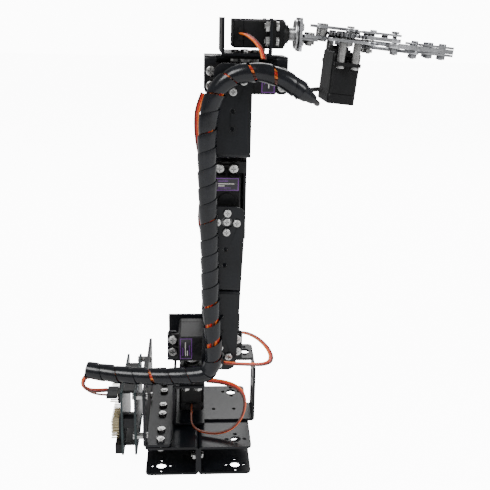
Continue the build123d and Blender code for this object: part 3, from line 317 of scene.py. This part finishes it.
class Line:
    """A smooth line that can be asked for its place and cross directions at any length along it."""

    def __init__(self, points, side=(0, -1, 0)):
        self.points = points
        self.at = [0.0]
        for a, b in zip(points, points[1:]):
            self.at.append(self.at[-1] + (b - a).length)
        self.length = self.at[-1]
        self.along = []
        for i in range(len(points)):
            a, b = points[max(i - 1, 0)], points[min(i + 1, len(points) - 1)]
            self.along.append((b - a).normalized())
        self.side = []
        current = Vector(side)
        for along in self.along:
            current = (current - current.dot(along) * along).normalized()
            self.side.append(current)

    def where(self, s):
        """Place, direction, and two cross directions at length s."""
        s = min(max(s, 0.0), self.length)
        low, high = 0, len(self.at) - 1
        while high - low > 1:
            middle = (low + high) // 2
            if self.at[middle] <= s:
                low = middle
            else:
                high = middle
        share = (s - self.at[low]) / max(self.at[high] - self.at[low], 1e-9)
        place = self.points[low].lerp(self.points[high], share)
        along = self.along[low].lerp(self.along[high], share).normalized()
        side = self.side[low].lerp(self.side[high], share)
        side = (side - side.dot(along) * along).normalized()
        return place, along, side, along.cross(side)

    def nearest(self, point):
        """Length along the line of the place nearest to a point in millimetres."""
        target = Vector(point) * MM
        return min(zip(self.at, self.points), key=lambda pair: (pair[1] - target).length)[0]

    def stretch(self, start, end, step=0.002):
        """Places along part of the line."""
        count = max(int((end - start) / step), 2)
        return [self.where(start + (end - start) * i / count)[0] for i in range(count + 1)]


def sweep_tube(bm, line, start, end, radius, offset=None, sides=10, step=0.0012, slot_index=0, ends=True):
    """Add a tube along part of a line; offset(s) gives where its middle lies across the line."""
    count = max(int((end - start) / step), 2)
    rings = []
    for i in range(count + 1):
        s = start + (end - start) * i / count
        place, _, side, other = line.where(s)
        a, b = offset(s) if offset else (0.0, 0.0)
        middle = place + a * side + b * other
        reach = radius(s) if callable(radius) else radius
        ring = []
        for k in range(sides):
            turn = 2 * math.pi * k / sides
            ring.append(bm.verts.new(middle + reach * (math.cos(turn) * side + math.sin(turn) * other)))
        rings.append(ring)
    for first, second in zip(rings, rings[1:]):
        for k in range(sides):
            face = bm.faces.new((first[k], first[(k + 1) % sides], second[(k + 1) % sides], second[k]))
            face.material_index = slot_index
    if ends:
        for ring in (rings[0][::-1], rings[-1]):
            face = bm.faces.new(ring)
            face.material_index = slot_index


def add_box(bm, low, high, slot_index=0, bevel=0.0, segments=2):
    """Add a box with rounded edges, given in millimetres."""
    made = bmesh.ops.create_cube(bm, size=1.0)["verts"]
    size = [(b - a) * MM for a, b in zip(low, high)]
    middle = [(a + b) / 2 * MM for a, b in zip(low, high)]
    for vertex in made:
        vertex.co = Vector([vertex.co[i] * size[i] + middle[i] for i in range(3)])
    faces = {face for vertex in made for face in vertex.link_faces}
    for face in faces:
        face.material_index = slot_index
    if bevel:
        edges = list({edge for face in faces for edge in face.edges})
        bmesh.ops.bevel(bm, geom=edges, offset=bevel * MM, segments=segments, affect="EDGES", profile=0.5)


def add_can(bm, centre, axis, radius, height, slot_index=0, sides=24, rim=0.3):
    """Add a round can with a rounded rim; centre is its foot, in millimetres."""
    direction = Vector(axis).normalized()
    side = direction.orthogonal().normalized()
    other = direction.cross(side)
    slope = rim * 0.3
    levels = [(0, radius), (height - rim, radius), (height - slope, radius - slope), (height, radius - rim)]
    rings = []
    for up, r in levels:
        ring = []
        for k in range(sides):
            turn = 2 * math.pi * k / sides
            point = Vector(centre) + up * direction + r * (math.cos(turn) * side + math.sin(turn) * other)
            ring.append(bm.verts.new(point * MM))
        rings.append(ring)
    for first, second in zip(rings, rings[1:]):
        for k in range(sides):
            face = bm.faces.new((first[k], first[(k + 1) % sides], second[(k + 1) % sides], second[k]))
            face.material_index = slot_index
    for ring in (rings[0][::-1], rings[-1]):
        bm.faces.new(ring).material_index = slot_index


# ---------------------------------------------------------------- harness
HARNESS_ROUTE = [
    (-83.5, -37.3, 86), (-63, -41.2, 84.2), (-42, -44.5, 84.2), (-24, -47, 85), (-6, -48.8, 86.5),
    (5.5, -49.4, 88.2), (10.4, -49.4, 96), (10.9, -49.2, 108), (9.3, -49, 127), (7.9, -49, 147),
    (7.3, -49.3, 170), (6.7, -49, 192), (5.6, -49.2, 213), (4.8, -49, 234), (4.4, -49.3, 255),
    (4.9, -49.1, 273), (6.8, -49.3, 286), (11.5, -49.6, 296), (20.2, -50, 303.7), (31.9, -50.3, 307),
    (45, -50.2, 306.2), (57, -50, 301.4), (66.5, -48.5, 295),
]
PAN_LEAD_ROUTE = [
    (-5.5, -13.3, 40.5), (-5.5, -18, 40.5), (-5.9, -22.5, 36.5), (-5.2, -26, 31), (-0.5, -29.5, 28),
    (7, -32.8, 27.4), (16, -34.8, 28), (25.5, -34.3, 31), (32.5, -31.2, 36.5), (36.3, -28, 44),
    (36.8, -26.8, 52.5), (34.3, -28.8, 61), (28.5, -32, 68), (21, -35.6, 73), (13, -39.4, 76.6),
    (6, -42.4, 79),
]
SHOULDER_LEAD_ROUTE = [
    (27.3, 2.5, 98), (32.5, 2.5, 98), (39.5, -0.5, 98.4), (47, -7, 97), (53, -16, 94.5), (56.2, -26, 91.5),
    (54.5, -35.5, 90.3), (48, -41.5, 91.3), (39.5, -44.4, 92.9), (31.5, -45.8, 94), (24, -46.8, 95),
    (18.2, -47.8, 96.4),
]
ELBOW_LEAD_ROUTE = [
    (19.2, 2.5, 189.6), (19.2, 2.5, 184), (14.5, 0.8, 179.3), (7.5, -2.4, 179.8),
    (2, -6, 185.5), (0.4, -11, 195), (1, -16, 207), (2, -21, 219.5), (2.4, -25.4, 232), (1.2, -29.3, 244),
    (-1.2, -33.2, 255), (-2.4, -36.6, 265), (-2.6, -40, 274.5), (-1.6, -43.2, 283.5), (1.8, -45, 292),
]
ROLL_LEAD_ROUTE = [
    (28.4, -13.3, 329.9), (28.4, -18.5, 329.9),
    (31, -23.8, 329.6), (35.2, -29, 326.8), (38.6, -34.8, 323), (40.6, -40.6, 319), (41.2, -46, 315),
]
GRIPPER_LEAD_ROUTE = [
    (66.5, -48.5, 295), (74.1, -47.3, 289.9), (79.6, -39.5, 286), (81, -27, 284.3), (81.3, -13, 284.6),
    (81.3, 2, 286), (82, 16, 287.6), (84.6, 28.2, 288.5), (90.6, 36.4, 288.7), (97.4, 36.8, 288.7),
    (99.9, 31.4, 288.7), (99.9, 25.3, 288.7),
]
WRAP_WIDTH = 12.9 * MM
WRAP_RADIUS = 5.15 * MM
WRAP_THICK = 0.6 * MM
WRAP_CROWN, WRAP_FLARE = 0.22 * MM, 0.80 * MM  # swell of a turn's middle, and rise of its leading edge
TIGHT_PITCH = 11.9 * MM
LOOSE_REACH = 7 * MM
CORE_RADIUS, STRAND_RING, STRAND_RADIUS = 3.6 * MM, 3.75 * MM, 1.05 * MM
STRAND_TWIST = 22  # radians per metre
STRAND_COLOURS = [0, 1, 2, 0, 1, 2, 1, 0, 2, 1, 2, 0]
WIRE_PITCH, WIRE_RADIUS, SLEEVE_RADIUS = 1.28 * MM, 0.68 * MM, 1.75 * MM
CREASE_ANGLE = 40
# where the wrap's turns stand apart and show the wires, and by how much
LOOSE_TURNS = [
    ((-66, -40, 84), 1.8), ((-40, -45, 84), 4.2), ((-19, -47, 85), 2.2), ((10.6, -49, 104), 6.0),
    ((9.8, -49, 121), 4.2), ((9.0, -49, 136), 3.2), ((6.5, -49, 200), 2.0), ((4.6, -49, 262), 2.4),
    ((9, -49.5, 292), 4.6), ((25, -50, 305.5), 4.2), ((44, -50, 306), 4.6),
]

harness = Line(route_line(HARNESS_ROUTE))
loose_at = [(harness.nearest(point), extra * MM) for point, extra in LOOSE_TURNS]


def pitch_at(s):
    """Advance per turn of the wrap at length s."""
    spread = [extra * math.exp(-(((s - middle) / LOOSE_REACH) ** 2)) for middle, extra in loose_at]
    return TIGHT_PITCH + sum(spread)


def wrap_turns(step_deg=10.0):
    """(angle, length along the harness) of the wrap's leading edge, from end to end."""
    turns, angle, s = [], 0.0, -WRAP_WIDTH
    while s < harness.length:
        turns.append((angle, s))
        angle += math.radians(step_deg)
        s += pitch_at(s) * step_deg / 360.0
    return turns


TURNS = wrap_turns()


def wrap_mesh(bm, start, end):
    """Helical strip, slightly flared so that each turn's edge stands over the next."""
    across = 8
    rows = []
    for angle, s in TURNS:
        if not start - 1e-6 <= s <= end + pitch_at(end) / 36:
            continue
        row_out, row_in = [], []
        for k in range(across + 1):
            v = k / across
            place, _, side, other = harness.where(min(max(s + v * WRAP_WIDTH, 0.0), harness.length))
            crown = WRAP_CROWN * (1 - (2 * v - 1) ** 4)
            radius = WRAP_RADIUS + crown + WRAP_FLARE * v
            spoke = math.cos(angle) * side + math.sin(angle) * other
            row_out.append(bm.verts.new(place + (radius + WRAP_THICK) * spoke))
            row_in.append(bm.verts.new(place + radius * spoke))
        rows.append((row_out, row_in))
    for (out_a, in_a), (out_b, in_b) in zip(rows, rows[1:]):
        for k in range(across):
            bm.faces.new((out_a[k], out_b[k], out_b[k + 1], out_a[k + 1]))
            bm.faces.new((in_a[k + 1], in_b[k + 1], in_b[k], in_a[k]))
        for k in (0, across):
            bm.faces.new((out_a[k], in_a[k], in_b[k], out_b[k]))
    for out, inner in (rows[0], rows[-1]):
        for k in range(across):
            bm.faces.new((out[k], out[k + 1], inner[k + 1], inner[k]))
    bmesh.ops.recalc_face_normals(bm, faces=bm.faces[:])


def core_mesh(bm, start, end):
    """Bundle of wires inside the wrap: a filling and a ring of coloured wires, slowly twisted."""
    sweep_tube(bm, harness, start, end, CORE_RADIUS, sides=14, slot_index=0)
    for number, colour in enumerate(STRAND_COLOURS):
        phase = 2 * math.pi * number / len(STRAND_COLOURS)

        def offset(s, phase=phase):
            turn = phase + s * STRAND_TWIST
            return STRAND_RING * math.cos(turn), STRAND_RING * math.sin(turn)

        sweep_tube(bm, harness, start, end, STRAND_RADIUS, offset, sides=8, step=0.002, slot_index=colour)


def smoothed(piece):
    """Round shading with crisp creases."""
    piece.data.shade_smooth()
    for edge in piece.data.edges:
        edge.use_edge_sharp = False
    piece.data.set_sharp_from_angle(angle=math.radians(CREASE_ANGLE))
    return piece


CUTS = [(10.3, -49.3, 93), (6.9, -49, 183), (5.6, -49, 279)]
SPLITS = [0.0, *(harness.nearest(cut) for cut in CUTS), harness.length]
HARNESS_PIECES = [
    ("base", ("harness_base", "harness_swing"), ("base", "turret"), (-45, -44, 84.5), (-2, -48.5, 87)),
    ("upper_arm", ("harness_riser",), ("turret", "upper_arm"), (10.5, -49.3, 96), (9.6, -49, 126)),
    ("forearm", ("harness_forearm",), ("upper_arm", "forearm"), (6.8, -49, 186), (5.2, -49, 222)),
    ("wrist", ("harness_wrist",), ("forearm", "wrist"), (5.6, -49, 282), (14, -49.6, 299)),
]


def add_harness():
    """The wrapped harness, one length per stretch between two joints."""
    for number, (name, nodes, bodies, bend_from, bend_to) in enumerate(HARNESS_PIECES):
        start, end = SPLITS[number], SPLITS[number + 1]
        bm = bmesh.new()
        core_mesh(bm, start, end)
        core = new_piece(f"harness_wires_{name}", bm, [BROWN, RED, ORANGE])
        bm = bmesh.new()
        wrap_mesh(bm, start - WRAP_WIDTH if number == 0 else start, end)
        wrap = smoothed(new_piece(f"harness_wrap_{name}", bm, [WRAP]))
        for piece in (core, wrap):
            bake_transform(piece)
        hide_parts(*nodes)


def ribbon_mesh(bm, line):
    """Flat lead of three wires side by side."""
    for colour in range(3):
        across = (colour - 1) * WIRE_PITCH
        place = (0.0, across)
        sweep_tube(
            bm, line, 0, line.length, WIRE_RADIUS, lambda s, place=place: place, sides=10, slot_index=colour,
        )


def add_lead(name, route, bodies, side, bend=None):
    """A servo's flat lead between the servo and the harness."""
    line = Line(route_line(route), side)
    bm = bmesh.new()
    ribbon_mesh(bm, line)
    piece = new_piece(name, bm, [BROWN, RED, ORANGE])
    if bend:
        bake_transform(piece)
    else:
        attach(piece, bodies[0])
    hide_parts(name)
    piece.name = f"{name}_wires"


TAPER_LENGTH, TAPER_TURN = 11 * MM, 5.5 * MM
TAPER_START, TAPER_LOSS, TAPER_STEP = 5.9 * MM, 3.3 * MM, 0.6 * MM
PAN_LEAD_BEND = ((30, -30, 66), (8, -42, 78.5))


def taper_radius(s):
    """Radius of the wrap's narrowing end at length s, with the steps of its turns."""
    return TAPER_START - TAPER_LOSS * s / TAPER_LENGTH + TAPER_STEP * (s / TAPER_TURN % 1.0)


def add_leads():
    """All separate leads."""
    add_lead("pan_lead", PAN_LEAD_ROUTE, ("base", "turret"), (-1, 0, 0), PAN_LEAD_BEND)
    add_lead("shoulder_lead", SHOULDER_LEAD_ROUTE, ("turret",), (0, 0, 1))
    add_lead("elbow_lead", ELBOW_LEAD_ROUTE, ("forearm",), (1, 0, 0))
    add_lead("roll_lead", ROLL_LEAD_ROUTE, ("wrist",), (0, 0, 1))
    line = Line(route_line(GRIPPER_LEAD_ROUTE), (0, 0, 1))
    bm = bmesh.new()
    sweep_tube(bm, line, 0, line.length, SLEEVE_RADIUS, sides=16)
    piece = new_piece("gripper_lead_sleeve", bm, [SLEEVE])
    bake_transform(piece)
    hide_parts("gripper_lead")
    bm = bmesh.new()
    sweep_tube(bm, line, 0, TAPER_LENGTH, taper_radius, sides=24, step=0.0003)
    taper = smoothed(new_piece("gripper_lead_taper", bm, [WRAP]))
    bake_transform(taper)


add_harness()
add_leads()


# ---------------------------------------------------------------- plugs and wire tails on the boards
PIN_FACE_X, PLUG_BACK_X = -61.4, -69.5
PLUG_LEVEL = 65.6
PLUG_HALF_WIDTH, PLUG_HALF_HEIGHT, PLUG_EDGE = 3.8, 1.3, 0.3
TAILS = [
    ("near", [
        (-80, -38.8, 84.6), (-84.5, -41.5, 82), (-86.5, -42.8, 77),
        (-83.5, -42.4, 71.5), (-77, -40.5, 67), (-69.5, -38.7, 65.6),
    ]),
    ("far", [
        (-80, -36.8, 84.2), (-86, -37.6, 81), (-88.5, -37.2, 75),
        (-85, -36, 69), (-78, -33.8, 66.2), (-69.5, -31.1, 65.6),
    ]),
]


def add_tails():
    """Plugs on the servo pins, and the wires that go to them from the end of the harness."""
    for name, route in TAILS:
        y = route[-1][1]
        low = (PLUG_BACK_X, y - PLUG_HALF_WIDTH, PLUG_LEVEL - PLUG_HALF_HEIGHT)
        high = (PIN_FACE_X, y + PLUG_HALF_WIDTH, PLUG_LEVEL + PLUG_HALF_HEIGHT)
        bm = bmesh.new()
        add_box(bm, low, high, 0, PLUG_EDGE)
        new_piece(f"servo_plug_{name}", bm, [HEADER], "base", smooth=False)
        line = Line(route_line(route), (0, 0, 1))
        bm = bmesh.new()
        ribbon_mesh(bm, line)
        tail = new_piece(f"board_wires_{name}", bm, [BROWN, RED, ORANGE], "base")


add_tails()


# ---------------------------------------------------------------- labels on the servo caps
CAP_TOP = 6.5
LABEL_SPAN, LABEL_HALF = (-29.4, -20.2), 8.6  # along the case from the shaft axis, and half across it
LABEL_RIM = 0.7
# each bar's place along the label, its span across it, and its colour
LABEL_BARS = [(2.2, -6.0, 1.0, 0), (4.2, -6.0, 5.5, 2), (5.7, -6.0, -1.5, 2), (7.2, -6.0, 3.0, 0)]
BAR_HALF = 0.3
CAP_LABELS = [
    ("shoulder", "turret", (15.0, -21.0, 98.0), (1, 0, 0), (0, -1, 0)),
    ("elbow", "forearm", (19.17, -21.0, 201.92), (0, 0, -1), (0, -1, 0)),
    ("pitch", "wrist", (21.67, -21.0, 299.92), (-1, 0, 0), (0, -1, 0)),
]


def add_labels():
    """A plain framed label on the cap of each servo that faces the front."""
    for name, body, origin, along, up in CAP_LABELS:
        along, up = Vector(along), Vector(up)
        across = up.cross(along)
        placed = Matrix((along, across, up)).transposed().to_4x4()
        placed.translation = Vector(origin) * MM
        bm = bmesh.new()
        (low, high), half = LABEL_SPAN, LABEL_HALF
        add_box(bm, (low, -half, CAP_TOP + 0.02), (high, half, CAP_TOP + 0.12), 0)
        inner_low, inner_high, inner_half = low + LABEL_RIM, high - LABEL_RIM, half - LABEL_RIM
        add_box(bm, (inner_low, -inner_half, CAP_TOP + 0.05), (inner_high, inner_half, CAP_TOP + 0.17), 1)
        for x, start, end, look in LABEL_BARS:
            x += low
            add_box(bm, (x - BAR_HALF, start, CAP_TOP + 0.1), (x + BAR_HALF, end, CAP_TOP + 0.22), look)
        bm.transform(placed)
        new_piece(f"{name}_label", bm, [LABEL_FRAME, LABEL, WHITE], body, smooth=False)


add_labels()


# ---------------------------------------------------------------- parts on the circuit boards
BOARD_LOW, BOARD_HEIGHT, BOARD_THICK = 18.0, 53.4, 1.6
MAIN_X, SHIELD_X = -47.0, -57.0  # face of each board towards the rail
HEADER_INSET = 4.0
CAN_RADIUS, CAN_HEIGHT = 2.6, 5.4
JOINT_RADIUS, JOINT_HEIGHT, JOINT_PITCH, JOINT_COUNT = 0.6, 0.9, 1.9, 24


def add_board_parts():
    """Chips, capacitors, resistors and solder joints."""
    bm = bmesh.new()
    outer = SHIELD_X - BOARD_THICK
    add_box(bm, (outer - 2.2, -14, 46), (outer, -4, 56), 0, 0.2)
    add_box(bm, (outer - 1.6, 4, 30), (outer, 12, 35), 0, 0.15)
    inner = MAIN_X - BOARD_THICK
    add_box(bm, (inner - 2.0, -20, 36), (inner, -6, 50), 0, 0.2)
    for number in range(26):
        y, z = chance.uniform(-36, 14), chance.uniform(44, 58)
        if -17 < y < -1 or number % 2 and z < 46:
            continue
        add_box(bm, (outer - 0.6, y - 0.5, z - 0.9), (outer, y + 0.5, z + 0.9), 1 + number % 2, 0.05)
    for number in range(22):
        y, z = chance.uniform(-40, 14), chance.uniform(24, 34)
        add_box(bm, (inner - 0.7, y - 0.6, z - 1.0), (inner, y + 0.6, z + 1.0), 1 + number % 2, 0.05)
    for y, z in ((8, 46), (14, 52)):
        add_can(bm, (outer, y, z), (-1, 0, 0), CAN_RADIUS, CAN_HEIGHT, 2)
    for row in range(JOINT_COUNT):
        y = -38 + JOINT_PITCH * row
        for z in (BOARD_LOW + HEADER_INSET, BOARD_LOW + BOARD_HEIGHT - HEADER_INSET):
            add_can(bm, (MAIN_X, y, z), (1, 0, 0), JOINT_RADIUS, JOINT_HEIGHT, 2, sides=8, rim=0.4)
    new_piece("board_parts", bm, [HEADER, CERAMIC, CAN], "base", smooth=False)


add_board_parts()


# ---------------------------------------------------------------- stage
FLOOR_GLOW, ROOM_LIGHT, BACKDROP_LIGHT = 11.0, 0.30, 12.0
FLOOR_SIZE, FLOOR_DROP = 6.0, 0.2 * MM
LAMP_AIM = (0.02, 0, 0.17)
# name, place, edge length and power of each lamp
LAMPS = [
    ("key", (-0.9, -1.0, 1.5), 0.8, 30.0),
    ("fill", (1.1, -0.8, 0.9), 0.6, 14.0),
    ("rim", (0.3, 1.2, 1.2), 0.8, 16.0),
]


def add_stage():
    """White floor and soft studio light; the backdrop is brighter to the eye than as a light."""
    material, shader = new_material("floor", (0.93, 0.93, 0.93), 0.8)
    bump_to(material, shader, noise_of(material, 60), 0.02, 0.0005)
    seen = node(material, "ShaderNodeLightPath")
    glow = node(material, "ShaderNodeMath")
    glow.operation = "MULTIPLY"
    glow.inputs[1].default_value = FLOOR_GLOW
    material.node_tree.links.new(seen.outputs["Is Camera Ray"], glow.inputs[0])
    material.node_tree.links.new(glow.outputs["Value"], shader.inputs["Emission Strength"])
    shader.inputs["Emission Color"].default_value = (1, 1, 1, 1)
    bm = bmesh.new()
    bmesh.ops.create_grid(bm, x_segments=2, y_segments=2, size=FLOOR_SIZE)
    floor = new_piece("floor", bm, [material])
    floor.location.z = -FLOOR_DROP
    world = bpy.data.worlds.new("studio")
    bpy.context.scene.world = world
    world.use_nodes = True
    background = world.node_tree.nodes["Background"]
    background.inputs["Color"].default_value = (1.0, 1.0, 1.0, 1)
    path = world.node_tree.nodes.new("ShaderNodeLightPath")
    span = world.node_tree.nodes.new("ShaderNodeMapRange")
    span.inputs["To Min"].default_value, span.inputs["To Max"].default_value = ROOM_LIGHT, BACKDROP_LIGHT
    world.node_tree.links.new(path.outputs["Is Camera Ray"], span.inputs["Value"])
    world.node_tree.links.new(span.outputs["Result"], background.inputs["Strength"])
    for name, place, size, power in LAMPS:
        data = bpy.data.lights.new(name, "AREA")
        data.size, data.energy = size, power
        lamp = bpy.data.objects.new(name, data)
        lamp.location = place
        aim = Vector(LAMP_AIM) - Vector(place)
        lamp.rotation_euler = aim.to_track_quat("-Z", "Y").to_euler()
        bpy.context.scene.collection.objects.link(lamp)


add_stage()
